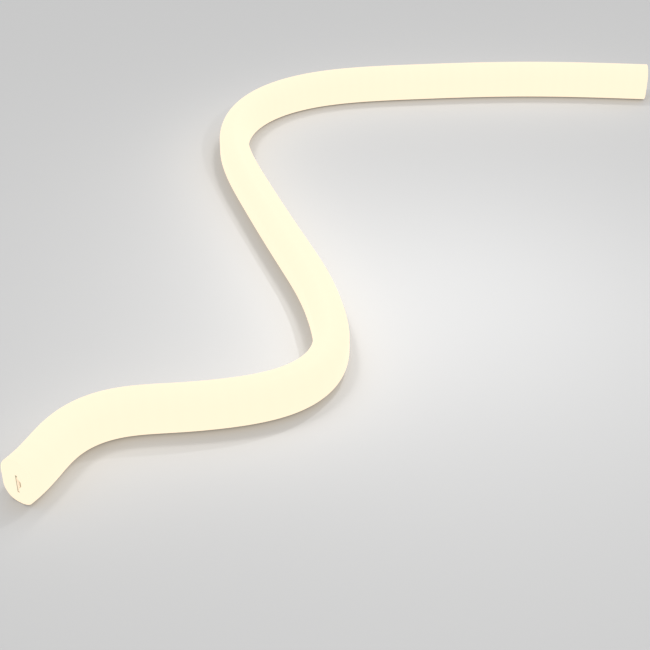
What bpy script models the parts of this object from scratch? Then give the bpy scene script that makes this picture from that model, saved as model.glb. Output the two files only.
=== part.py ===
"""LED neon flex: a flexible silicone light line, cut square at both ends, lying in bends on a floor.

Two pieces: the extruded silicone body with an upright pocket all along it, and the
circuit strip that stands on edge in that pocket with its row of LED packages.
Metres, +Z up. The origin is under the middle of the whole length, on the floor.
"""
import math

import bmesh
import bpy
from mathutils import Matrix, Vector

MM = 0.001

# Silicone body, as a section across the length
BODY_WIDTH = 18.0 * MM
BODY_HEIGHT = 24.0 * MM
FOOT_CORNER = 8.0 * MM          # radius of the two lower corners beside the flat foot
CROWN_RADIUS = BODY_WIDTH / 2   # the top is one half round

# Circuit strip, standing on edge
STRIP_WIDTH = 8.0 * MM
STRIP_THICKNESS = 0.5 * MM
STRIP_MIDDLE = 10.4 * MM        # height of the strip's middle above the floor
STRIP_SETBACK = 0.5 * MM        # how far the strip stops short of each cut end
FIT_GAP = 0.3 * MM              # air all round what lies in the pocket
POCKET_HEADROOM = 0.8 * MM      # more air above the strip, so that it can be drawn in

# LED packages on the strip
LED_LENGTH = 2.8 * MM           # along the strip
LED_HEIGHT = 3.5 * MM           # across the strip
LED_THICKNESS = 0.8 * MM
LED_RISE = 0.9 * MM             # how far their middle is above the strip's
LED_PITCH = 8.0 * MM
LED_FOOTING = 0.1 * MM          # depth of the solder joint, sunk into the strip

# Light channel beside the LEDs, a wedge that opens from the pocket
CHANNEL_DEPTH = 2.0 * MM        # from the strip's face to the channel's far wall
CHANNEL_FAR_HEIGHT = 2.2 * MM
CHANNEL_FLARE = 0.9 * MM        # how far its mouth spreads above and below the LEDs' clearance

# The way it lies: stretches of length and left turn in degrees, from one end to the other
START_HEADING = 175.0
FAR_RUN, FAR_ANGLE = 167.0 * MM, 10.5
WIDE_BEND, WIDE_ANGLE = 228.0 * MM, 103.0
MIDDLE_RUN, MIDDLE_ANGLE = 96.0 * MM, 1.5
EASE_IN, EASE_IN_ANGLE = 63.0 * MM, -12.0
TIGHT_BEND, TIGHT_ANGLE = 80.0 * MM, -85.0
EASE_OUT, EASE_OUT_ANGLE = 45.0 * MM, -10.5
BACK_BEND, BACK_ANGLE = 59.0 * MM, 75.5
NEAR_RUN, NEAR_ANGLE = 18.0 * MM, -27.0
BLEND = 20.0 * MM               # how far each turn runs over into its neighbours
STRETCHES = (
    (FAR_RUN, FAR_ANGLE),
    (WIDE_BEND, WIDE_ANGLE),
    (MIDDLE_RUN, MIDDLE_ANGLE),
    (EASE_IN, EASE_IN_ANGLE),
    (TIGHT_BEND, TIGHT_ANGLE),
    (EASE_OUT, EASE_OUT_ANGLE),
    (BACK_BEND, BACK_ANGLE),
    (NEAR_RUN, NEAR_ANGLE),
)

# Fineness of the facets
STATION_SPACING = 24.0 * MM
STATION_ANGLE = 4.0
CROWN_STEPS = 12
CORNER_STEPS = 5
WALK_STEPS = 16                 # small steps between two stations

CUTTER_OVERRUN = 4.0 * MM


def heading_at(distance):
    """Heading in radians; a stretch's turn swells and fades, from BLEND before it to BLEND after."""
    heading = START_HEADING
    begun = 0.0
    for length, turn in STRETCHES:
        share = min(max((distance - begun + BLEND) / (length + 2 * BLEND), 0.0), 1.0)
        heading += turn * (share - math.sin(2 * math.pi * share) / (2 * math.pi))
        begun += length
    return math.radians(heading)


def walk():
    """Follow the stretches and return stations as (distance, x, y, heading in radians)."""
    x = y = distance = 0.0
    stations = [(distance, x, y, heading_at(distance))]
    for length, turn in STRETCHES:
        count = max(math.ceil(length / STATION_SPACING), math.ceil(abs(turn) / STATION_ANGLE), 2)
        step = length / (count * WALK_STEPS)
        for _ in range(count):
            for _ in range(WALK_STEPS):
                direction = heading_at(distance + step / 2)
                x += step * math.cos(direction)
                y += step * math.sin(direction)
                distance += step
            stations.append((distance, x, y, heading_at(distance)))
    return stations


def centred(stations):
    """Move the stations so that the middle of the body's box is at x = 0, y = 0."""
    half = BODY_WIDTH / 2
    edges = [
        (x - side * half * math.sin(heading), y + side * half * math.cos(heading))
        for _, x, y, heading in stations
        for side in (-1, 1)
    ]
    middle = [(min(values) + max(values)) / 2 for values in zip(*edges)]
    return [(s, x - middle[0], y - middle[1], heading) for s, x, y, heading in stations]


def along(stations, distance):
    """Point and heading at a distance along the stations, straight between two of them.

    A distance past either end runs on in the end's own heading.
    """
    last = len(stations) - 2
    index = next((i for i in range(last + 1) if stations[i + 1][0] >= distance), last)
    before, after = stations[index], stations[index + 1]
    run = after[0] - before[0]
    share = min(max((distance - before[0]) / run, 0.0), 1.0)
    extra = distance - before[0] - share * run
    heading = before[3] + share * (after[3] - before[3])
    x = before[1] + share * (after[1] - before[1]) + extra * math.cos(heading)
    y = before[2] + share * (after[2] - before[2]) + extra * math.sin(heading)
    return x, y, heading


def trimmed(stations, start_cut, end_cut):
    """Points of the route from start_cut to the length less end_cut; a negative cut runs on."""
    total = stations[-1][0]
    inner = [(x, y) for s, x, y, _ in stations if start_cut < s < total - end_cut]
    first = along(stations, start_cut)[:2]
    final = along(stations, total - end_cut)[:2]
    keep = STRIP_SETBACK
    inner = [
        point for point in inner
        if math.dist(point, first) > keep and math.dist(point, final) > keep
    ]
    return [first] + inner + [final]


def arc(centre_x, centre_y, radius, first, last, steps):
    """Points of an arc from one angle to another, in degrees."""
    angles = [math.radians(first + (last - first) * i / steps) for i in range(steps + 1)]
    return [(centre_x + radius * math.cos(a), centre_y + radius * math.sin(a)) for a in angles]


def body_outline():
    """Outline of the body across its length: half round on top, flat foot with round corners."""
    corner_x = BODY_WIDTH / 2 - FOOT_CORNER
    return (
        arc(0, BODY_HEIGHT - CROWN_RADIUS, CROWN_RADIUS, 0, 180, CROWN_STEPS)
        + arc(-corner_x, FOOT_CORNER, FOOT_CORNER, 180, 270, CORNER_STEPS)
        + arc(corner_x, FOOT_CORNER, FOOT_CORNER, 270, 360, CORNER_STEPS)
    )


def at_strip(outline):
    """Lift an outline drawn about the strip's own middle to the strip's height in the body."""
    return [(x, y + STRIP_MIDDLE) for x, y in outline]


def pocket_outline():
    """Outline of the pocket: an upright slot with the light channel's wedge on its LED side."""
    side = STRIP_THICKNESS / 2 + FIT_GAP
    bottom = -STRIP_WIDTH / 2 - FIT_GAP
    top = STRIP_WIDTH / 2 + FIT_GAP + POCKET_HEADROOM
    led_half = LED_HEIGHT / 2 + FIT_GAP
    led_far = STRIP_THICKNESS / 2 + LED_THICKNESS + FIT_GAP
    far = STRIP_THICKNESS / 2 + CHANNEL_DEPTH
    wedge = [(side, led_half + CHANNEL_FLARE), (led_far, led_half), (far, CHANNEL_FAR_HEIGHT / 2)]
    lower = [(x, LED_RISE - y) for x, y in wedge]
    upper = [(x, LED_RISE + y) for x, y in reversed(wedge)]
    slot = [(side, top), (-side, top), (-side, bottom), (side, bottom)]
    return at_strip(lower + upper + slot)


def strip_outline():
    """Outline of the bare strip on edge."""
    side = STRIP_THICKNESS / 2
    half = STRIP_WIDTH / 2
    return at_strip([(side, -half), (side, half), (-side, half), (-side, -half)])


def material(name, colour, roughness, glow=None, strength=0.0):
    """Principled material with a colour, a roughness and a glow if it is lit."""
    made = bpy.data.materials.new(name)
    made.use_nodes = True
    shader = made.node_tree.nodes["Principled BSDF"]
    shader.inputs["Base Color"].default_value = (*colour, 1.0)
    shader.inputs["Roughness"].default_value = roughness
    shader.inputs["Metallic"].default_value = 0.0
    if glow:
        shader.inputs["Emission Color"].default_value = (*glow, 1.0)
        shader.inputs["Emission Strength"].default_value = strength
    return made


def line_curve(name, points, closed):
    """Curve through plain points, flat for an outline and in space for a route."""
    curve = bpy.data.curves.new(name, "CURVE")
    curve.dimensions = "2D" if closed else "3D"
    spline = curve.splines.new("POLY")
    spline.points.add(len(points) - 1)
    for target, point in zip(spline.points, points):
        target.co = (point[0], point[1], 0.0, 1.0)
    spline.use_cyclic_u = closed
    holder = bpy.data.objects.new(name, curve)
    bpy.context.scene.collection.objects.link(holder)
    return holder


def sweep(name, outline, route, collection):
    """Carry an outline along a route on the floor, upright all the way, and close both ends.

    The outline's x runs to the left of the route; a bevel section's own x runs to its right.
    """
    section = line_curve(name + "_section", [(-x, y) for x, y in outline], True)
    path = line_curve(name + "_route", route, False)
    path.data.twist_mode = "Z_UP"
    path.data.bevel_mode = "OBJECT"
    path.data.bevel_object = section
    path.data.use_fill_caps = True
    bpy.context.view_layer.update()
    evaluated = path.evaluated_get(bpy.context.evaluated_depsgraph_get())
    mesh = bpy.data.meshes.new_from_object(evaluated)
    mesh.name = name
    made = bpy.data.objects.new(name, mesh)
    made.matrix_world = path.matrix_world.copy()
    collection.objects.link(made)
    for holder in (path, section):
        bpy.data.objects.remove(holder)
    weld(mesh)
    return made


def weld(mesh):
    """Join the loose end faces to the tube and turn all faces outward."""
    shape = bmesh.new()
    shape.from_mesh(mesh)
    bmesh.ops.remove_doubles(shape, verts=shape.verts, dist=0.00001)
    bmesh.ops.recalc_face_normals(shape, faces=shape.faces)
    shape.to_mesh(mesh)
    shape.free()


def combine(target, other, operation):
    """Cut or join another object into a target and keep the other as a hidden guide."""
    step = target.modifiers.new(other.name, "BOOLEAN")
    step.operation = operation
    step.object = other
    step.solver = "EXACT"
    other.hide_render = True
    other.display_type = "WIRE"


def smooth(target, degrees):
    """Shade smooth, with edges sharper than an angle kept crisp."""
    target.data.shade_smooth()
    target.data.set_sharp_from_angle(angle=math.radians(degrees))


def led_row(stations, collection):
    """All LED packages in one guide object, on the left face of the strip."""
    shape = bmesh.new()
    usable = stations[-1][0] - 2 * STRIP_SETBACK
    count = int(usable // LED_PITCH)
    first = (stations[-1][0] - (count - 1) * LED_PITCH) / 2
    depth = LED_THICKNESS + LED_FOOTING
    outward = STRIP_THICKNESS / 2 - LED_FOOTING + depth / 2
    for number in range(count):
        x, y, heading = along(stations, first + number * LED_PITCH)
        left = Vector((-math.sin(heading), math.cos(heading), 0.0))
        place = Vector((x, y, STRIP_MIDDLE + LED_RISE)) + left * outward
        turn = Matrix.Rotation(heading, 4, "Z")
        size = Matrix.Diagonal((LED_LENGTH, depth, LED_HEIGHT, 1.0))
        bmesh.ops.create_cube(shape, size=1.0, matrix=Matrix.Translation(place) @ turn @ size)
    mesh = bpy.data.meshes.new("led_packages")
    shape.to_mesh(mesh)
    shape.free()
    guide = bpy.data.objects.new("led_packages", mesh)
    collection.objects.link(guide)
    return guide


def silicone_body(stations, parts, cutters):
    """Extruded body with the pocket cut right through from end to end."""
    body = sweep("silicone_body", body_outline(), trimmed(stations, 0.0, 0.0), parts)
    route = trimmed(stations, -CUTTER_OVERRUN, -CUTTER_OVERRUN)
    combine(body, sweep("pocket", pocket_outline(), route, cutters), "DIFFERENCE")
    smooth(body, 30)
    warm = (1.0, 0.93, 0.72)
    body.data.materials.append(material("silicone", warm, 0.45, warm, 1.0))
    return body


def circuit_strip(stations, parts, cutters):
    """Flexible circuit strip on edge, with the LED packages soldered along its left face."""
    route = trimmed(stations, STRIP_SETBACK, STRIP_SETBACK)
    strip = sweep("circuit_strip", strip_outline(), route, parts)
    combine(strip, led_row(stations, cutters), "UNION")
    strip.data.materials.append(material("circuit_strip", (0.85, 0.83, 0.76), 0.5))
    return strip


def clear_scene():
    """Start from an empty scene."""
    for thing in list(bpy.data.objects):
        bpy.data.objects.remove(thing)


def new_collection(name):
    """Collection linked to the scene."""
    collection = bpy.data.collections.new(name)
    bpy.context.scene.collection.children.link(collection)
    return collection


def main():
    """Build the neon flex."""
    clear_scene()
    parts = new_collection("led_neon_flex")
    cutters = new_collection("cutters")
    stations = centred(walk())
    silicone_body(stations, parts, cutters)
    circuit_strip(stations, parts, cutters)


main()
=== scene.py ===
# %% [markdown]
# # LED neon flex on a pale floor
#
# Neon flex is a soft silicone bar that glows all over. A circuit strip with a row of LED
# packages stands on edge in a pocket along its middle, and the milky silicone spreads
# their light. This length is cut at both ends and lies on the floor in a few easy bends.
#
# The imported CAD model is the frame: every size below is in metres, in its axes, with +Z
# up and the camera looking along +Y.

import math

import bpy
import numpy as np
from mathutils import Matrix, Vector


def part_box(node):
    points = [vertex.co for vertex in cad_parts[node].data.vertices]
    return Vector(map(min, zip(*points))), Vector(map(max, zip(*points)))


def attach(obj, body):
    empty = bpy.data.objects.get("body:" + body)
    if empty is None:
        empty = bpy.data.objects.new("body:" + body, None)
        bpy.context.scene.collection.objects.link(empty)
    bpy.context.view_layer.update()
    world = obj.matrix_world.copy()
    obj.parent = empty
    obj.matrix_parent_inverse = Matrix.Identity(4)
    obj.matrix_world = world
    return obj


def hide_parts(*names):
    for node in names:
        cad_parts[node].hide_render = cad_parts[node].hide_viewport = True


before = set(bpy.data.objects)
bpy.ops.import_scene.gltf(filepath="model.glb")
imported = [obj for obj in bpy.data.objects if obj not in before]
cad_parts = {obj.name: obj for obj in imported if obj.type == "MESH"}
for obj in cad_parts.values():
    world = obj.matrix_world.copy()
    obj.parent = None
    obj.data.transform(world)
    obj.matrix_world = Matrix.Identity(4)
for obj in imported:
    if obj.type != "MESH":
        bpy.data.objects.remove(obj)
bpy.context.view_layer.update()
body_low, body_high = (np.array(corner, float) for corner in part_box("silicone_body"))

# %% [markdown]
# ## The way it lies
#
# A flexible bar has no corners: its curvature swells and fades. So the route is a row of
# stretches, each with a length and a turn. A turn follows a raised cosine that begins a
# little before its stretch and ends a little after it, so that neighbours run into each
# other. Placing points by hand would give flat spots. An array of headings, summed up,
# gives every point of the route at once. The lengths hold for a bar 18 mm wide, and that
# width is a guess: nothing in the photograph gives its size.

# %% The route
MM = 0.001
BODY_WIDTH = 18.0 * MM
START_HEADING = 175.0
STRETCHES = (
    (167.0 * MM, 10.5),
    (228.0 * MM, 103.0),
    (96.0 * MM, 1.5),
    (63.0 * MM, -12.0),
    (80.0 * MM, -85.0),
    (45.0 * MM, -10.5),
    (59.0 * MM, 75.5),
    (18.0 * MM, -27.0),
)
BLEND = 20.0 * MM
ROUTE_STEP = 0.1 * MM
LENGTH = sum(length for length, _ in STRETCHES)


def heading_at(distance):
    """Heading in radians: the start's heading plus each stretch's turn times the share made.

    The share made after a part t of the turn's reach is t - sin(2 pi t) / (2 pi), held at 0
    before the reach and at 1 after it. The reach is the stretch and BLEND on either side.
    """
    heading = np.full(np.shape(distance), math.radians(START_HEADING))
    begun = 0.0
    for length, turn in STRETCHES:
        share = np.clip((distance - begun + BLEND) / (length + 2 * BLEND), 0.0, 1.0)
        heading += math.radians(turn) * (share - np.sin(2 * np.pi * share) / (2 * np.pi))
        begun += length
    return heading


def walk_route():
    """Points along the route: running sums of short steps in the heading at each step's middle."""
    count = round(LENGTH / ROUTE_STEP)
    middles = (np.arange(count) + 0.5) * LENGTH / count
    steps = np.stack([np.cos(heading_at(middles)), np.sin(heading_at(middles))], 1)
    points = np.vstack([[0.0, 0.0], np.cumsum(steps, axis=0) * LENGTH / count])
    return np.linspace(0.0, LENGTH, count + 1), points


route_distance, route_points = walk_route()
route_left = np.stack(
    [-np.sin(heading_at(route_distance)), np.cos(heading_at(route_distance))], 1)
route_edges = np.vstack(
    [route_points + route_left * BODY_WIDTH / 2, route_points - route_left * BODY_WIDTH / 2])
route_points += (body_low + body_high)[:2] / 2 - (route_edges.min(0) + route_edges.max(0)) / 2
print(f"route: {LENGTH * 1000:.0f} mm long, from {np.round(route_points[0] * 1000, 1)} "
      f"to {np.round(route_points[-1] * 1000, 1)} mm")


def place(distance, left, up):
    """World points: the route's point at a distance, plus so much to its left and so much up.

    Past either end the route runs straight on.
    """
    distance, left, up = np.broadcast_arrays(distance, left, up)
    inside = np.clip(distance, 0.0, LENGTH)
    heading = heading_at(inside)
    beyond = distance - inside
    x = np.interp(inside, route_distance, route_points[:, 0])
    y = np.interp(inside, route_distance, route_points[:, 1])
    x = x + beyond * np.cos(heading) - left * np.sin(heading)
    y = y + beyond * np.sin(heading) + left * np.cos(heading)
    return np.stack([x, y, up], -1)


# %% [markdown]
# ## Making meshes from grids
#
# A surface here is a grid of points: rows one way, columns the other. The helpers join
# each four neighbours with a face, put one flat face over an open first or last row, and
# turn the whole mesh outside out if its volume comes out negative. Arrays do this in one
# go, where building face by face would be slow and easy to get inside out.

# %% Grid helpers
SHARP_ANGLE = 40.0


def enclosed_volume(points, quads, caps):
    """Signed volume of a closed mesh: a sixth of the sum of its triangles' triple products."""
    fans = [caps[:, [0, i, i + 1]] for i in range(1, caps.shape[1] - 1)]
    corners = np.vstack([quads[:, [0, 1, 2]], quads[:, [0, 2, 3]], *fans])
    a, b, c = points[corners[:, 0]], points[corners[:, 1]], points[corners[:, 2]]
    return np.einsum("ij,ij->i", a, np.cross(b, c)).sum() / 6


def grid_quads(rows, columns, wrap_rows):
    """Corner numbers of every face of a grid whose columns go all the way round.

    With wrapped rows, the last row joins the first one too.
    """
    row, column = np.arange(rows if wrap_rows else rows - 1), np.arange(columns)
    row, column = (part.ravel() for part in np.meshgrid(row, column, indexing="ij"))
    next_row, next_column = (row + 1) % rows, (column + 1) % columns
    corners = [row * columns + column, row * columns + next_column,
               next_row * columns + next_column, next_row * columns + column]
    return np.stack(corners, 1)


def grid_caps(rows, columns):
    """One many-cornered face over the first row, turned round, and one over the last row."""
    ring = np.arange(columns)
    return np.stack([ring[::-1], (rows - 1) * columns + ring])


def make_mesh(name, points, quads, caps=None):
    """Blender object from arrays of points, four-cornered faces and caps, placed by its mesh.

    It is shaded smooth, with a crease where two faces meet at more than SHARP_ANGLE degrees.
    """
    caps = np.empty((0, 3), int) if caps is None else caps
    if enclosed_volume(points, quads, caps) < 0:
        quads, caps = quads[:, ::-1], caps[:, ::-1]
    corners = np.r_[quads.ravel(), caps.ravel()]
    starts = np.r_[np.arange(0, quads.size, 4), quads.size + np.arange(len(caps)) * caps.shape[1]]
    mesh = bpy.data.meshes.new(name)
    mesh.vertices.add(len(points))
    mesh.vertices.foreach_set("co", np.asarray(points, np.float32).ravel())
    mesh.loops.add(len(corners))
    mesh.loops.foreach_set("vertex_index", corners.astype(np.int32))
    mesh.polygons.add(len(starts))
    mesh.polygons.foreach_set("loop_start", starts.astype(np.int32))
    mesh.update(calc_edges=True)
    mesh.shade_smooth()
    mesh.set_sharp_from_angle(angle=math.radians(SHARP_ANGLE))
    made = bpy.data.objects.new(name, mesh)
    bpy.context.scene.collection.objects.link(made)
    print(f"{name}: {len(points)} points, {len(starts)} faces")
    return made


def point_values(made, name, values):
    """Store one number per point, which a material reads by that name."""
    layer = made.data.attributes.new(name, "FLOAT", "POINT")
    layer.data.foreach_set("value", np.asarray(values, np.float32).ravel())


def flow_map(made, along, around):
    """UV map named flow: metres along the length and metres round the section, per point."""
    layer = made.data.uv_layers.new(name="flow")
    corner = np.empty(len(made.data.loops), np.int32)
    made.data.loops.foreach_get("vertex_index", corner)
    values = np.stack([np.ravel(along)[corner], np.ravel(around)[corner]], 1)
    layer.data.foreach_set("uv", values.astype(np.float32).ravel())


# %% [markdown]
# ## The section
#
# Across its length the bar is built as an upright oblong: half round on top, with round
# lower corners beside a narrow flat foot. The oblong matches the outline with a camera
# that has square pixels. A round bar in a squeezed picture would match it better, so the
# real section may be round. The pocket is a thin upright slot with a wedge on one side,
# where the light leaves the LEDs. Both outlines get the same number of points, so that
# the cut face between them can be one grid too.

# %% Section outlines
BODY_HEIGHT = 24.0 * MM
FOOT_CORNER = 8.0 * MM
CROWN_RADIUS = BODY_WIDTH / 2
STRIP_WIDTH = 8.0 * MM
STRIP_THICKNESS = 0.5 * MM
STRIP_MIDDLE = 10.4 * MM
STRIP_SETBACK = 0.1 * MM
FIT_GAP = 0.3 * MM
POCKET_HEADROOM = 0.8 * MM
LED_LENGTH = 2.8 * MM
LED_HEIGHT = 3.5 * MM
LED_THICKNESS = 0.8 * MM
LED_RISE = 0.9 * MM
LED_PITCH = 8.0 * MM
CHANNEL_DEPTH = 2.0 * MM
CHANNEL_FAR_HEIGHT = 2.2 * MM
CHANNEL_FLARE = 0.9 * MM
RING = 96
QUARTER_POINTS = 60
SLOT_SPREAD = 4.0


def even_ring(outline, count):
    """So many points spaced evenly by length round a closed outline."""
    closed = np.vstack([outline, outline[:1]])
    run = np.r_[0.0, np.cumsum(np.linalg.norm(np.diff(closed, axis=0), axis=1))]
    wanted = np.arange(count) * run[-1] / count
    return np.stack([np.interp(wanted, run, closed[:, i]) for i in (0, 1)], 1)


def body_outline(inset=0.0):
    """The oblong, drawn in by an inset: each arc's centre plus its radius times (cos, sin)."""
    crown, foot = CROWN_RADIUS - inset, FOOT_CORNER - inset
    corner_x = BODY_WIDTH / 2 - FOOT_CORNER
    quarter = np.radians(np.linspace(0, 90, QUARTER_POINTS))
    half_turn = np.radians(np.linspace(0, 180, 2 * QUARTER_POINTS))
    arcs = (
        (0.0, BODY_HEIGHT - CROWN_RADIUS, crown, half_turn),
        (-corner_x, FOOT_CORNER, foot, np.pi + quarter),
        (corner_x, FOOT_CORNER, foot, 1.5 * np.pi + quarter),
    )
    return np.vstack([
        np.stack([x + radius * np.cos(turn), y + radius * np.sin(turn)], 1)
        for x, y, radius, turn in arcs
    ])


def pocket_corners():
    """Corners of the slot with its wedge: half sizes of strip and LED plus their clearances."""
    side = STRIP_THICKNESS / 2 + FIT_GAP
    bottom = -STRIP_WIDTH / 2 - FIT_GAP
    top = STRIP_WIDTH / 2 + FIT_GAP + POCKET_HEADROOM
    led_half = LED_HEIGHT / 2 + FIT_GAP
    led_far = STRIP_THICKNESS / 2 + LED_THICKNESS + FIT_GAP
    far = STRIP_THICKNESS / 2 + CHANNEL_DEPTH
    wedge = np.array(
        [(side, led_half + CHANNEL_FLARE), (led_far, led_half), (far, CHANNEL_FAR_HEIGHT / 2)])
    slot = np.array([(side, top), (-side, top), (-side, bottom), (side, bottom)])
    raised = (0.0, LED_RISE)
    corners = np.vstack([wedge * (1, -1) + raised, wedge[::-1] + raised, slot])
    return corners + (0.0, STRIP_MIDDLE)


def pocket_ring(count, outer):
    """Pocket outline with one point for each of the outer ring's, and a point on every corner.

    Each corner takes the outer point at its own angle, with the slot widened SLOT_SPREAD
    times so that the corners spread out; points between two corners are spaced evenly.
    """
    corners = pocket_corners()
    middle = np.array([0.0, STRIP_MIDDLE])
    outer_angle = np.arctan2(*(outer - middle).T[::-1]) % (2 * np.pi)
    spread = (corners - middle) * (SLOT_SPREAD, 1.0)
    corner_angle = np.arctan2(spread[:, 1], spread[:, 0]) % (2 * np.pi)
    gap = np.abs((outer_angle[None] - corner_angle[:, None] + np.pi) % (2 * np.pi) - np.pi)
    chosen = gap.argmin(1)
    order = np.argsort(chosen)
    chosen, corners = chosen[order], corners[order]
    place_in_ring = np.r_[chosen[-1] - count, chosen, chosen[0] + count]
    looped = np.vstack([corners[-1:], corners, corners[:1]])
    return np.stack([np.interp(np.arange(count), place_in_ring, looped[:, i]) for i in (0, 1)], 1)


outer_ring = even_ring(body_outline(), RING)
inner_ring = pocket_ring(RING, outer_ring)
print(f"section: {np.ptp(outer_ring[:, 0]) * 1000:.1f} x {np.ptp(outer_ring[:, 1]) * 1000:.1f} mm,"
      f" pocket {np.ptp(inner_ring[:, 0]) * 1000:.1f} x {np.ptp(inner_ring[:, 1]) * 1000:.1f} mm")

# %% [markdown]
# ## The silicone body
#
# The body is one closed skin. Its rows run along the outside, round a slightly worn edge,
# across the cut face to the pocket, back along the pocket, and out over the other cut
# face. The last row joins the first, so the grid closes like a ring and needs no caps.
# A knife leaves faint waves on a cut silicone face, and they are real relief here.

# %% Silicone body
SKIN_STEP = 1.5 * MM
POCKET_STEP = 4.0 * MM
EDGE_WEAR = 0.25 * MM
KNIFE_WAVE = 0.04 * MM
KNIFE_WAVE_LENGTH = 1.1 * MM
KNIFE_SLANT = 0.15
WORN_ROWS = 5
FACE_ROWS = 9
SECTION_ROUND = 70.0 * MM
SLOT_TOLERANCE = 0.05 * MM
AT_POCKET = 0.999


def end_rows(sign, end):
    """Rows from the outside over one cut end: distances, insets and shares of the way inward.

    The worn edge is a quarter circle, and then the share rises from 0 at the outline to 1
    at the pocket.
    """
    turn = np.radians(np.linspace(0, 90, WORN_ROWS))
    worn_distance = end - sign * EDGE_WEAR * (1 - np.sin(turn))
    worn_inset = EDGE_WEAR * (1 - np.cos(turn))
    share = np.linspace(0, 1, FACE_ROWS + 1)[1:]
    distance = np.r_[worn_distance, np.full(len(share), end)]
    inset = np.r_[worn_inset, np.full(len(share), EDGE_WEAR)]
    return distance, inset, np.r_[np.zeros(len(turn)), share]


def silicone_grid():
    """All rows of the closed skin as (rows, ring) arrays of distance, left, up and share inward.

    A knife wave draws the cut face in by a sine of the height, a little slanted, times the
    root of a half sine of the share, so that it dies out at both rims.
    """
    skin = np.linspace(EDGE_WEAR, LENGTH - EDGE_WEAR, round(LENGTH / SKIN_STEP))[1:-1]
    pocket = np.linspace(LENGTH, 0.0, round(LENGTH / POCKET_STEP))[1:-1]
    far = end_rows(1, LENGTH)
    near = [part[::-1] for part in end_rows(-1, 0.0)]
    distance = np.r_[skin, far[0], pocket, near[0]]
    inset = np.r_[0 * skin, far[1], 0 * pocket, near[1]]
    share = np.r_[0 * skin, far[2], 0 * pocket + 1, near[2]]
    drawn_in = outer_ring - even_ring(body_outline(EDGE_WEAR), RING)
    outer = outer_ring[None] - drawn_in[None] * (inset / EDGE_WEAR)[:, None, None]
    ring = outer * (1 - share)[:, None, None] + inner_ring[None] * share[:, None, None]
    on_face = np.sqrt(np.sin(np.pi * share))
    inward = np.where(distance < LENGTH / 2, 1.0, -1.0)
    slanted = ring[..., 1] + KNIFE_SLANT * ring[..., 0]
    wave = 0.5 + 0.5 * np.sin(2 * np.pi * slanted / KNIFE_WAVE_LENGTH)
    distance = distance[:, None] + (inward * on_face)[:, None] * KNIFE_WAVE * wave
    return distance, ring[..., 0], ring[..., 1], np.broadcast_to(share[:, None], ring.shape[:2])


def make_silicone():
    """The glowing body, with its flow map, its share inward and its depth behind a cut end."""
    distance, left, up, share = silicone_grid()
    rows, columns = distance.shape
    points = place(distance, left, up).reshape(-1, 3)
    made = make_mesh("neon_silicone", points, grid_quads(rows, columns, True))
    around = np.broadcast_to(np.arange(columns) * SECTION_ROUND / columns, distance.shape)
    flow_map(made, distance, around)
    point_values(made, "inward", share)
    point_values(made, "depth", np.minimum(distance, LENGTH - distance))
    # Points in the thin slot are marked, so that the lit silicone can paint them dark as shade.
    in_slot = inner_ring[:, 0] < STRIP_THICKNESS / 2 + FIT_GAP + SLOT_TOLERANCE
    point_values(made, "slot", np.where(share > AT_POCKET, in_slot, 0.0))
    return made


silicone = make_silicone()
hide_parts("silicone_body")
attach(silicone, "root")

# %% [markdown]
# ## The circuit strip
#
# The strip is a thin white board that stands on edge in the slot, because a flexible board
# bends only across its thin way. Its section is a plain upright rectangle, carried along
# the same route, with a flat face at each cut end. It stops 0.1 mm short of the cut here,
# so that the wall of the slot doesn't hide half of its edge from the camera. The solid in
# the CAD model stops 0.5 mm short.

# %% Board
BOARD_ROWS = 340


def make_board():
    """Closed ribbon: the eight points of a rectangle carried along the route, with flat ends."""
    side, half = STRIP_THICKNESS / 2, STRIP_WIDTH / 2
    section = np.array([(side, -half), (side, 0), (side, half), (0, half),
                        (-side, half), (-side, 0), (-side, -half), (0, -half)])
    section = section + (0.0, STRIP_MIDDLE)
    distance = np.linspace(STRIP_SETBACK, LENGTH - STRIP_SETBACK, BOARD_ROWS)[:, None]
    points = place(distance, section[:, 0], section[:, 1])
    made = make_mesh("strip_board", points.reshape(-1, 3),
                     grid_quads(BOARD_ROWS, len(section), False),
                     grid_caps(BOARD_ROWS, len(section)))
    shape = (BOARD_ROWS, len(section))
    flow_map(made, np.broadcast_to(distance, shape), np.broadcast_to(section[:, 1], shape))
    point_values(made, "depth", np.broadcast_to(np.minimum(distance, LENGTH - distance), shape))
    return made


board = make_board()
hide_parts("circuit_strip")
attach(board, "root")

# %% [markdown]
# ## The LED packages
#
# Each LED is a little white housing with a round cup, filled with a yellow gel that turns
# blue light warm white. Solder joins it to the board at both its ends. One of each is
# worked out as a stack of rings and copied along the route by adding arrays, so that all
# the copies are one mesh. A copied block per LED would be hundreds of objects.

# %% Shapes repeated along the strip
LED_COUNT = int((LENGTH - 2 * STRIP_SETBACK) // LED_PITCH)
LED_FIRST = (LENGTH - (LED_COUNT - 1) * LED_PITCH) / 2
BOARD_FACE = STRIP_THICKNESS / 2


def soft_square(width, height, corner, count):
    """Ring of a rectangle with round corners: a point at each even angle of a superellipse.

    Its half sides are scaled by |cos| and |sin| raised to the power 2 / corner.
    """
    turn = (np.arange(count) + 0.5) * 2 * np.pi / count
    x = np.sign(np.cos(turn)) * np.abs(np.cos(turn)) ** (2 / corner) * width / 2
    y = np.sign(np.sin(turn)) * np.abs(np.sin(turn)) ** (2 / corner) * height / 2
    return np.stack([x, y], 1)


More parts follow.
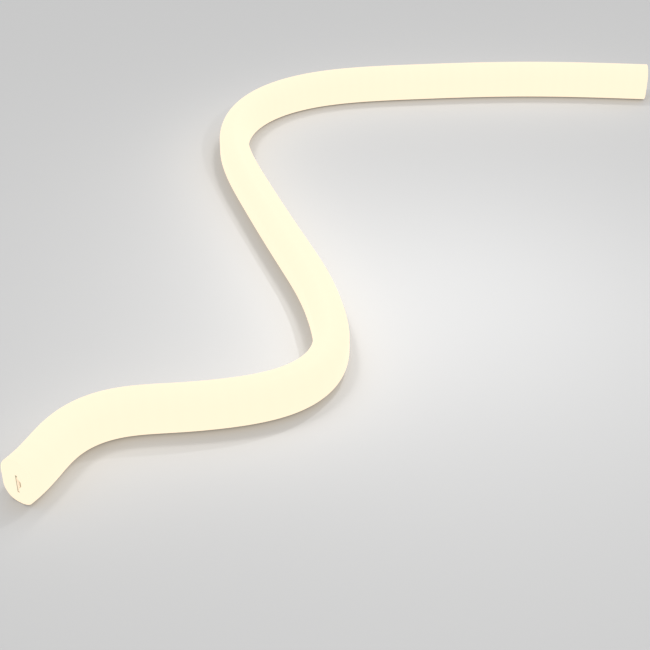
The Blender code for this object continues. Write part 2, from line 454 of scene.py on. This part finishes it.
def repeat_stack(name, rings, heights, offsets):
    """One mesh of a stack of rings, copied to every LED at each of some offsets along the strip.

    A ring's first way runs along the strip, its second up, and its height stands off the
    board's lit face.
    """
    rows, columns = len(rings), rings[0].shape[0]
    stack = np.array(rings)
    at = (LED_FIRST + np.arange(LED_COUNT)[:, None] * LED_PITCH + np.array(offsets)).ravel()
    along = at[:, None, None] + stack[None, ..., 0]
    out = np.broadcast_to(BOARD_FACE + np.array(heights)[None, :, None], along.shape)
    up = np.broadcast_to(STRIP_MIDDLE + LED_RISE + stack[None, ..., 1], along.shape)
    points = place(along, out, up).reshape(-1, 3)
    shift = (np.arange(len(at)) * rows * columns)[:, None, None]
    quads = (grid_quads(rows, columns, False)[None] + shift).reshape(-1, 4)
    caps = (grid_caps(rows, columns)[None] + shift).reshape(-1, columns)
    made = make_mesh(name, points, quads, caps)
    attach(made, "root")
    return made


# %% LED housings, gel and solder
CUP_RADIUS = 1.2 * MM
CUP_FLOOR_RADIUS = 1.0 * MM
CUP_DEPTH = 0.35 * MM
HOUSING_EDGE = 0.06 * MM
SOLDER_LENGTH = 0.7 * MM
SOLDER_HEIGHT = 2.4 * MM
SOLDER_BULGE = 0.22 * MM
LED_RING = 16
HOUSING_SQUARENESS = 9
SOLDER_SQUARENESS = 5
ROUND = 2
HOUSING_FOOT = 0.97

# The gel fills the cup: each pair is a share of a radius and a share of the cup's depth.
GEL_FOOT = (1.02, 0.9)
GEL_TOP = ((0.98, 0.3), (0.9, 0.22), (0.5, 0.15), (0.15, 0.14))

# The solder is a low dome: each pair is a share of the pad and a share of the bulge.
SOLDER_DOME = ((1.0, 0.0), (0.94, 0.45), (0.72, 0.85), (0.3, 1.0))

square = soft_square(LED_LENGTH, LED_HEIGHT, HOUSING_SQUARENESS, LED_RING)
circle = soft_square(2.0, 2.0, ROUND, LED_RING)
housing = repeat_stack(
    "led_housings",
    [square * HOUSING_FOOT, square, square, square * (1 - 2 * HOUSING_EDGE / LED_LENGTH),
     circle * CUP_RADIUS, circle * CUP_FLOOR_RADIUS],
    [0.0, HOUSING_EDGE, LED_THICKNESS - HOUSING_EDGE, LED_THICKNESS,
     LED_THICKNESS, LED_THICKNESS - CUP_DEPTH],
    [0.0])
gel = repeat_stack(
    "led_gel",
    [circle * CUP_FLOOR_RADIUS * GEL_FOOT[0], *(circle * CUP_RADIUS * part for part, _ in GEL_TOP)],
    [LED_THICKNESS - CUP_DEPTH * down for _, down in (GEL_FOOT, *GEL_TOP)],
    [0.0])
pad = soft_square(SOLDER_LENGTH, SOLDER_HEIGHT, SOLDER_SQUARENESS, LED_RING)
solder_shift = (LED_LENGTH + SOLDER_LENGTH) / 2
solder = repeat_stack(
    "led_solder",
    [pad * part for part, _ in SOLDER_DOME],
    [SOLDER_BULGE * rise for _, rise in SOLDER_DOME],
    [-solder_shift, solder_shift])
print(f"{LED_COUNT} LEDs, the first {LED_FIRST * 1000:.1f} mm from the end")

# %% [markdown]
# ## Materials
#
# A material is a small graph of nodes. The helper makes a node, sets its values and joins
# its inputs in one call, so that each finish below reads as a short recipe. A value that
# is the same all over is set on the shader itself.

# %% Node helper
def new_material(name, made):
    """Node material given to a piece: its Principled shader's inputs and a function for nodes.

    The function takes a kind, the settings (an input's name or number, or a property) and
    the outputs that feed its inputs, and returns the new node.
    """
    material = bpy.data.materials.new(name)
    material.use_nodes = True
    tree = material.node_tree
    shader = tree.nodes["Principled BSDF"]

    def node(kind, settings=None, feeds=None):
        new = tree.nodes.new("ShaderNode" + kind)
        for key, value in (settings or {}).items():
            if isinstance(key, int) or key in new.inputs:
                new.inputs[key].default_value = value
            else:
                setattr(new, key, value)
        for key, output in (feeds or {}).items():
            tree.links.new(output, new.inputs[key])
        return new

    def feed(name, output):
        tree.links.new(output, shader.inputs[name])

    made.data.materials.append(material)
    return shader.inputs, node, feed


def ramp(node, value, low, high, start, end):
    """Output that goes softly from start to end as a value goes from low to high."""
    settings = {"interpolation_type": "SMOOTHSTEP", "From Min": low, "From Max": high,
                "To Min": start, "To Max": end}
    return node("MapRange", settings, {"Value": value}).outputs["Result"]


def multiply(node, first, second):
    """Output of one value times another."""
    return node("Math", {"operation": "MULTIPLY"}, {0: first, 1: second}).outputs[0]


def mottle(node, scale, detail):
    """Output of a noise that is fixed to the piece, with so many blotches to the metre."""
    here = node("TexCoord").outputs["Object"]
    return node("TexNoise", {"Scale": scale, "Detail": detail}, {"Vector": here}).outputs["Fac"]


# %% [markdown]
# ### Lit silicone
#
# Through the milky silicone the LEDs' light comes out evenly, and far brighter than
# anything it reflects, so the finish is mostly glow: an emission a little over full
# strength over a nearly black base. Red goes past white on the screen, so the bar looks
# pale cream, while the light that it throws on the floor is warmer. The glow carries what
# little the real one shows: a trace of each LED behind the skin, fine lines from the
# extruder's die, and a foot that stays dimmer because the light is sent up and out.
# Painted shade makes the thin slot by the board a dark line and darkens the channel with depth.
# The die lines and a fine grain also drive roughness and bump.

# %% Lit silicone
GLOW = (1.0, 0.843, 0.628)
GLOW_STRENGTH = 1.12
CHANNEL_SHADE = (0.16, 0.13, 0.07, 1.0)
SLOT_SHADE = (0.27, 0.28, 0.18, 1.0)
SILICONE_BASE = (0.014, 0.013, 0.011, 1.0)
SILICONE_GLOSS = 0.03
DIE_LINE_SCALE = (12.0, 4200.0, 1.0)
GRAIN_SCALE = 1400.0
LED_WAVE_SCALE = 0.314
LED_TRACE = 0.004
LINE_TRACE = 0.006
FOOT_DIM = 0.4
FOOT_HEIGHTS = (0.3 * MM, 1.6 * MM)
FACE_SHARES = (0.0, 0.02)
POCKET_SHARES = (0.985, 1.0)
CHANNEL_DEPTHS = (0.5 * MM, 1.7 * MM)
SLOT_DEPTHS = (0.0, 0.06 * MM)
GRAIN_IN_RELIEF = 0.5

inputs, node, feed = new_material("lit_silicone", silicone)
flow = node("UVMap", {"uv_map": "flow"}).outputs["UV"]
here = node("TexCoord").outputs["Object"]
height = node("SeparateXYZ", feeds={"Vector": here}).outputs["Z"]
inward = node("Attribute", {"attribute_name": "inward"}).outputs["Fac"]
depth = node("Attribute", {"attribute_name": "depth"}).outputs["Fac"]
slot = node("Attribute", {"attribute_name": "slot"}).outputs["Fac"]

die_place = node("Mapping", {"Scale": DIE_LINE_SCALE}, {"Vector": flow}).outputs["Vector"]
die_lines = node("TexNoise", {"Scale": 1.0, "Detail": 3.0}, {"Vector": die_place}).outputs["Fac"]
grain = mottle(node, GRAIN_SCALE, 4.0)
led_place = node("Mapping", {"Scale": (1 / LED_PITCH, 0.0, 0.0)}, {"Vector": flow})
led_wave = node("TexWave", {"wave_type": "BANDS", "Scale": LED_WAVE_SCALE, "Distortion": 0.0},
                {"Vector": led_place.outputs["Vector"]}).outputs["Fac"]

# %% Lit silicone: how brightly each place glows
trace = node("Math", {"operation": "MULTIPLY_ADD", 1: LED_TRACE, 2: 1 - LED_TRACE},
             {0: led_wave}).outputs[0]
lines = node("Math", {"operation": "MULTIPLY_ADD", 1: LINE_TRACE, 2: 1 - LINE_TRACE / 2},
             {0: die_lines}).outputs[0]
foot = ramp(node, height, *FOOT_HEIGHTS, FOOT_DIM, 1.0)
on_face = ramp(node, inward, *FACE_SHARES, 0.0, 1.0)
lit = node("Math", {"operation": "MAXIMUM"}, {0: foot, 1: on_face}).outputs[0]
amount = multiply(node, multiply(node, trace, lines), lit)
glow = node("VectorMath", {"operation": "SCALE", 0: GLOW}, {"Scale": amount}).outputs["Vector"]

# Painted shade: the pocket's walls fade to a dark colour deeper than half a millimetre behind a cut
# end, and the slot's walls turn dark right from the rim.
in_pocket = ramp(node, inward, *POCKET_SHARES, 0.0, 1.0)
pocket_shade_amount = multiply(node, in_pocket, ramp(node, depth, *CHANNEL_DEPTHS, 0.0, 1.0))
in_slot = multiply(node, slot, ramp(node, depth, *SLOT_DEPTHS, 0.0, 1.0))
channel = node("MixRGB", {"Color2": CHANNEL_SHADE}, {"Fac": pocket_shade_amount, "Color1": glow})
colour = node("MixRGB", {"Color2": SLOT_SHADE},
              {"Fac": in_slot, "Color1": channel.outputs["Color"]})
feed("Emission Color", colour.outputs["Color"])
inputs["Emission Strength"].default_value = GLOW_STRENGTH
inputs["Base Color"].default_value = SILICONE_BASE
inputs["Specular IOR Level"].default_value = SILICONE_GLOSS

# %% Lit silicone: relief and roughness
relief = node("Math", {"operation": "MULTIPLY_ADD", 1: GRAIN_IN_RELIEF},
              {0: grain, 2: die_lines}).outputs[0]
bump = node("Bump", {"Strength": 0.2, "Distance": 0.02 * MM}, {"Height": relief})
feed("Normal", bump.outputs["Normal"])
feed("Roughness", ramp(node, relief, 0.3, 1.2, 0.42, 0.62))
print("lit silicone: glow", GLOW)

# %% [markdown]
# ### White board and its parts
#
# The board is white solder mask over copper. Copper tracks lift the mask a little, and
# bare pads between two LEDs mark where the strip may be cut. Its own LEDs' light, brightest
# at the open end, is painted on it as a pale peach glow that fades to dark deeper in. Maths
# nodes read the flow map, so that tracks and pads follow the strip round its bends.

# %% Board finish
MASK_WHITE = (0.86, 0.80, 0.70, 1.0)
LAMINATE = (0.62, 0.50, 0.36, 1.0)
COPPER = (0.72, 0.45, 0.25, 1.0)
# Painted light on the board: pale peach where its LEDs light it, dark where they don't.
LIT_PEACH = (1.0, 0.72, 0.52, 1.0)
UNLIT_PEACH = (0.10, 0.07, 0.04, 1.0)
MASK_CREAM = (0.78, 0.71, 0.60, 1.0)
BOARD_PAINTED_LIGHT = 0.45
WEAVE_SCALE = 2500.0
WEAVE_IN_RELIEF = 0.15
TRACK_INNER = (2.4 * MM, 2.5 * MM)
TRACK_OUTER = (3.4 * MM, 3.5 * MM)
LEDS_BETWEEN_CUTS = 6
CUT_PAD_SHARES = (0.018, 0.02)
BOARD_EDGE = (3.97 * MM, 3.99 * MM)
CUT_EDGE = (STRIP_SETBACK + 0.005 * MM, STRIP_SETBACK + 0.03 * MM)
PEACH_DEPTHS = (0.6 * MM, 1.7 * MM)

inputs, node, feed = new_material("white_board", board)
flow = node("UVMap", {"uv_map": "flow"}).outputs["UV"]
parts = node("SeparateXYZ", feeds={"Vector": flow})
depth = node("Attribute", {"attribute_name": "depth"}).outputs["Fac"]
weave = mottle(node, WEAVE_SCALE, 3.0)
offset = node("Math", {"operation": "SUBTRACT", 1: STRIP_MIDDLE}, {0: parts.outputs["Y"]})
from_middle = node("Math", {"operation": "ABSOLUTE"}, {0: offset.outputs[0]}).outputs[0]
tracks = multiply(node, ramp(node, from_middle, *TRACK_INNER, 0.0, 1.0),
                  ramp(node, from_middle, *TRACK_OUTER, 1.0, 0.0))
share = node("Math", {"operation": "DIVIDE", 1: LED_PITCH * LEDS_BETWEEN_CUTS},
             {0: parts.outputs["X"]})
cycle = node("Math", {"operation": "FRACT"}, {0: share.outputs[0]}).outputs[0]
to_cut = node("Math", {"operation": "SUBTRACT", 1: 0.5}, {0: cycle})
cut_gap = node("Math", {"operation": "ABSOLUTE"}, {0: to_cut.outputs[0]}).outputs[0]
bare = multiply(node, ramp(node, cut_gap, *CUT_PAD_SHARES, 1.0, 0.0), tracks)

# %% Board finish: colour, painted light and relief
tinted = node("MixRGB", {"Color1": MASK_WHITE, "Color2": MASK_CREAM}, {"Fac": weave})
face = node("MixRGB", {"Color2": COPPER}, {"Fac": bare, "Color1": tinted.outputs["Color"]})
edge_on = ramp(node, from_middle, *BOARD_EDGE, 0.0, 1.0)
at_cut = ramp(node, depth, *CUT_EDGE, 1.0, 0.0)
raw = node("Math", {"operation": "MAXIMUM"}, {0: edge_on, 1: at_cut}).outputs[0]
colour = node("MixRGB", {"Color2": LAMINATE}, {"Fac": raw, "Color1": face.outputs["Color"]})
feed("Base Color", colour.outputs["Color"])
# Painted light: an emission stands in for the LEDs' light falling on the board, pale peach near a
# cut end and dark deeper in.
far_in = ramp(node, depth, *PEACH_DEPTHS, 0.0, 1.0)
lit = node("MixRGB", {"Color1": LIT_PEACH, "Color2": UNLIT_PEACH}, {"Fac": far_in})
feed("Emission Color", lit.outputs["Color"])
inputs["Emission Strength"].default_value = BOARD_PAINTED_LIGHT
feed("Metallic", bare)
feed("Roughness", ramp(node, weave, 0.3, 0.7, 0.38, 0.55))
relief = node("Math", {"operation": "MULTIPLY_ADD", 1: WEAVE_IN_RELIEF},
              {0: weave, 2: tracks}).outputs[0]
bump = node("Bump", {"Strength": 0.5, "Distance": 0.03 * MM}, {"Height": relief})
feed("Normal", bump.outputs["Normal"])

# %% Housing, gel and solder finishes
HOUSING_WHITE = (0.88, 0.86, 0.80, 1.0)
HOUSING_CREAM = (0.80, 0.77, 0.70, 1.0)
SPECKLE_SCALE = 3500.0
GEL_YELLOW = (1.0, 0.80, 0.32, 1.0)
GEL_PALE = (1.0, 0.86, 0.45, 1.0)
GEL_GLOW = 1.5
CLOUD_SCALE = 1800.0
TIN_DULL = (0.62, 0.61, 0.58, 1.0)
TIN_BRIGHT = (0.80, 0.79, 0.76, 1.0)
FROST_SCALE = 2600.0

inputs, node, feed = new_material("led_housing", housing)
speckle = mottle(node, SPECKLE_SCALE, 2.0)
plastic = node("MixRGB", {"Color1": HOUSING_WHITE, "Color2": HOUSING_CREAM}, {"Fac": speckle})
feed("Base Color", plastic.outputs["Color"])
feed("Roughness", ramp(node, speckle, 0.3, 0.7, 0.35, 0.5))
bump = node("Bump", {"Strength": 0.2, "Distance": 0.01 * MM}, {"Height": speckle})
feed("Normal", bump.outputs["Normal"])

inputs, node, feed = new_material("phosphor_gel", gel)
cloud = mottle(node, CLOUD_SCALE, 3.0)
yellow = node("MixRGB", {"Color1": GEL_YELLOW, "Color2": GEL_PALE}, {"Fac": cloud})
feed("Base Color", yellow.outputs["Color"])
feed("Emission Color", yellow.outputs["Color"])
inputs["Emission Strength"].default_value = GEL_GLOW
feed("Roughness", ramp(node, cloud, 0.3, 0.7, 0.12, 0.2))

inputs, node, feed = new_material("solder", solder)
frost = mottle(node, FROST_SCALE, 4.0)
tin = node("MixRGB", {"Color1": TIN_DULL, "Color2": TIN_BRIGHT}, {"Fac": frost})
feed("Base Color", tin.outputs["Color"])
inputs["Metallic"].default_value = 1.0
feed("Roughness", ramp(node, frost, 0.3, 0.7, 0.25, 0.45))
bump = node("Bump", {"Strength": 0.3, "Distance": 0.01 * MM}, {"Height": frost})
feed("Normal", bump.outputs["Normal"])
print("materials:", len(bpy.data.materials))

# %% [markdown]
# ## The floor
#
# The floor is one large pale sheet, matt, that sends back a little under half of its light.
# It takes the bar's glow close by and its soft shadow, so its whiteness sets how bright the
# halo beside the bar is. Sheets somewhat darker or whiter fitted the photograph about as
# well, each with lamps to suit, so this whiteness is a choice. A very faint mottle keeps
# the sheet from looking like a flat fill.

# %% Floor
FLOOR_SIZE = 12.0
FLOOR_WHITE = (0.462, 0.462, 0.462, 1.0)
FLOOR_DULL = (0.458, 0.458, 0.458, 1.0)
FLOOR_MOTTLE_SCALE = 9.0

floor_mesh = bpy.data.meshes.new("floor")
half = FLOOR_SIZE / 2
floor_mesh.from_pydata(
    [(-half, -half, 0), (half, -half, 0), (half, half, 0), (-half, half, 0)], [], [(0, 1, 2, 3)])
floor = bpy.data.objects.new("floor", floor_mesh)
bpy.context.scene.collection.objects.link(floor)
inputs, node, feed = new_material("pale_floor", floor)
patches = mottle(node, FLOOR_MOTTLE_SCALE, 5.0)
paint = node("MixRGB", {"Color1": FLOOR_DULL, "Color2": FLOOR_WHITE}, {"Fac": patches})
feed("Base Color", paint.outputs["Color"])
feed("Roughness", ramp(node, patches, 0.3, 0.7, 0.88, 0.94))
inputs["Specular IOR Level"].default_value = 0.0

# %% [markdown]
# ## Light
#
# Four things light the picture. An even white sky gives the floor its grey. Two lamps at
# one place 194 mm over the floor make the bright pool beside the bar: a tiny one draws the
# faint shadow with a crisp edge round the bar's outer side, and a wide one softens it
# towards the bar. The crisp edge tells where they are: the lines from the edge past the
# bar's crown meet there. The bar itself lights the floor close by. A screen can't show how
# much brighter than white the real bar is, so a row of dim, slightly warm lamps over it
# adds the rest of its halo. The lamps themselves don't show in the camera. Their strengths
# and the sky's were fitted to how bright the floor is in the photograph.

# %% Lights
SKY_STRENGTH = 1.251
POOL_PLACE = (24.0 * MM, -52.0 * MM, 194.0 * MM)
POOL_LAMPS = ((0.49, 2.0 * MM), (0.358, 90.0 * MM))
HALO_POWER = 0.099
HALO_TINT = (1.0, 0.96, 0.90)
HALO_LIFT = 24.0 * MM
HALO_WIDTH = 4.0 * MM
HALO_COUNT = 38

world = bpy.data.worlds.new("studio")
bpy.context.scene.world = world
world.use_nodes = True
sky = world.node_tree.nodes["Background"].inputs
sky["Color"].default_value = (1.0, 1.0, 1.0, 1.0)
sky["Strength"].default_value = SKY_STRENGTH


def add_lamp(name, kind, power, where, turn=0.0):
    """Lamp at a place, turned about the upright, that the camera doesn't see."""
    data = bpy.data.lights.new(name, kind)
    data.energy = power
    lamp = bpy.data.objects.new(name, data)
    lamp.location = where
    lamp.rotation_euler = (0.0, 0.0, turn)
    lamp.visible_camera = False
    bpy.context.scene.collection.objects.link(lamp)
    return data


for number, (power, radius) in enumerate(POOL_LAMPS):
    pool = add_lamp(f"pool_{number}", "POINT", power, POOL_PLACE)
    pool.shadow_soft_size = radius

halo_at = (np.arange(HALO_COUNT) + 0.5) * LENGTH / HALO_COUNT
halo_places = place(halo_at, 0.0, BODY_HEIGHT + HALO_LIFT)
for number, (where, turn) in enumerate(zip(halo_places, heading_at(halo_at))):
    halo = add_lamp(f"halo_{number:02d}", "AREA", HALO_POWER / HALO_COUNT, where, float(turn))
    halo.shape = "RECTANGLE"
    halo.size = LENGTH / HALO_COUNT
    halo.size_y = HALO_WIDTH
    halo.color = HALO_TINT
print(f"lights: sky {SKY_STRENGTH}, {len(POOL_LAMPS)} pool lamps, {HALO_COUNT} halo lamps")

# %% [markdown]
# ## Camera
#
# The photograph looks down on the bar from its near side. The camera's height, tilt and
# lens were fitted together with the route and the section's height, by matching the bar's
# outline, so they hold only with this section. It looks straight along +Y with no roll, so
# that the far run lies level in the picture.

# %% Camera
CAMERA_PLACE = (-41.5 * MM, -652.4 * MM, 388.3 * MM)
CAMERA_PITCH = 34.015
CAMERA_LENS = 73.65
SENSOR_WIDTH = 36.0

camera_data = bpy.data.cameras.new("camera")
camera_data.lens = CAMERA_LENS
camera_data.sensor_width = SENSOR_WIDTH
camera_data.sensor_fit = "HORIZONTAL"
camera = bpy.data.objects.new("camera", camera_data)
camera.location = CAMERA_PLACE
camera.rotation_euler = (math.radians(90 - CAMERA_PITCH), 0.0, 0.0)
bpy.context.scene.collection.objects.link(camera)
bpy.context.scene.camera = camera
bpy.context.scene.view_settings.view_transform = "Standard"
